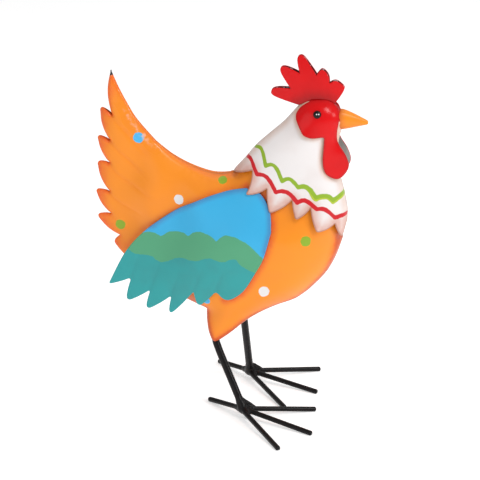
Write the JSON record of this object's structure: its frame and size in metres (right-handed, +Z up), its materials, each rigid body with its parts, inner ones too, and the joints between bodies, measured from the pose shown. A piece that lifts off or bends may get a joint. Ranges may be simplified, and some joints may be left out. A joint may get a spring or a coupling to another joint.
{
  "type": "painted sheet metal rooster figure",
  "caption": "Standing rooster ornament of domed, painted sheet metal halves with toothed tail, collar and wings, on splayed rod legs and toes.",
  "frame": {"origin": "on the ground, under the middle of the part's box", "axes": "+X towards the beak, +Y to the bird's left, +Z up"},
  "size_m": [0.2288, 0.1678, 0.3109],
  "materials": {
    "orange_paint": "satin enamel, airbrushed darker at the edges",
    "white_paint": "satin enamel with painted wavy lines",
    "red_paint": "gloss enamel",
    "wing_paint": "satin enamel in blue, green and teal",
    "beak_paint": "satin enamel",
    "black_paint": "satin black enamel",
    "eye_bead": "high gloss black"
  },
  "bodies": {
    "root": {"body_right": "orange_paint", "body_left": "orange_paint", "neck_right": "white_paint", "neck_left": "white_paint", "face_right": "red_paint", "face_left": "red_paint", "comb_right": "red_paint", "comb_left": "red_paint", "eye_right": "eye_bead", "eye_left": "eye_bead", "beak": "beak_paint", "wing_right": "wing_paint", "wing_left": "wing_paint", "leg_right": "black_paint", "leg_left": "black_paint", "right_toe_1": "black_paint", "right_toe_2": "black_paint", "right_toe_3": "black_paint", "right_toe_back": "black_paint", "left_toe_1": "black_paint", "left_toe_2": "black_paint", "left_toe_3": "black_paint", "left_toe_back": "black_paint"}
  },
  "joints": []
}
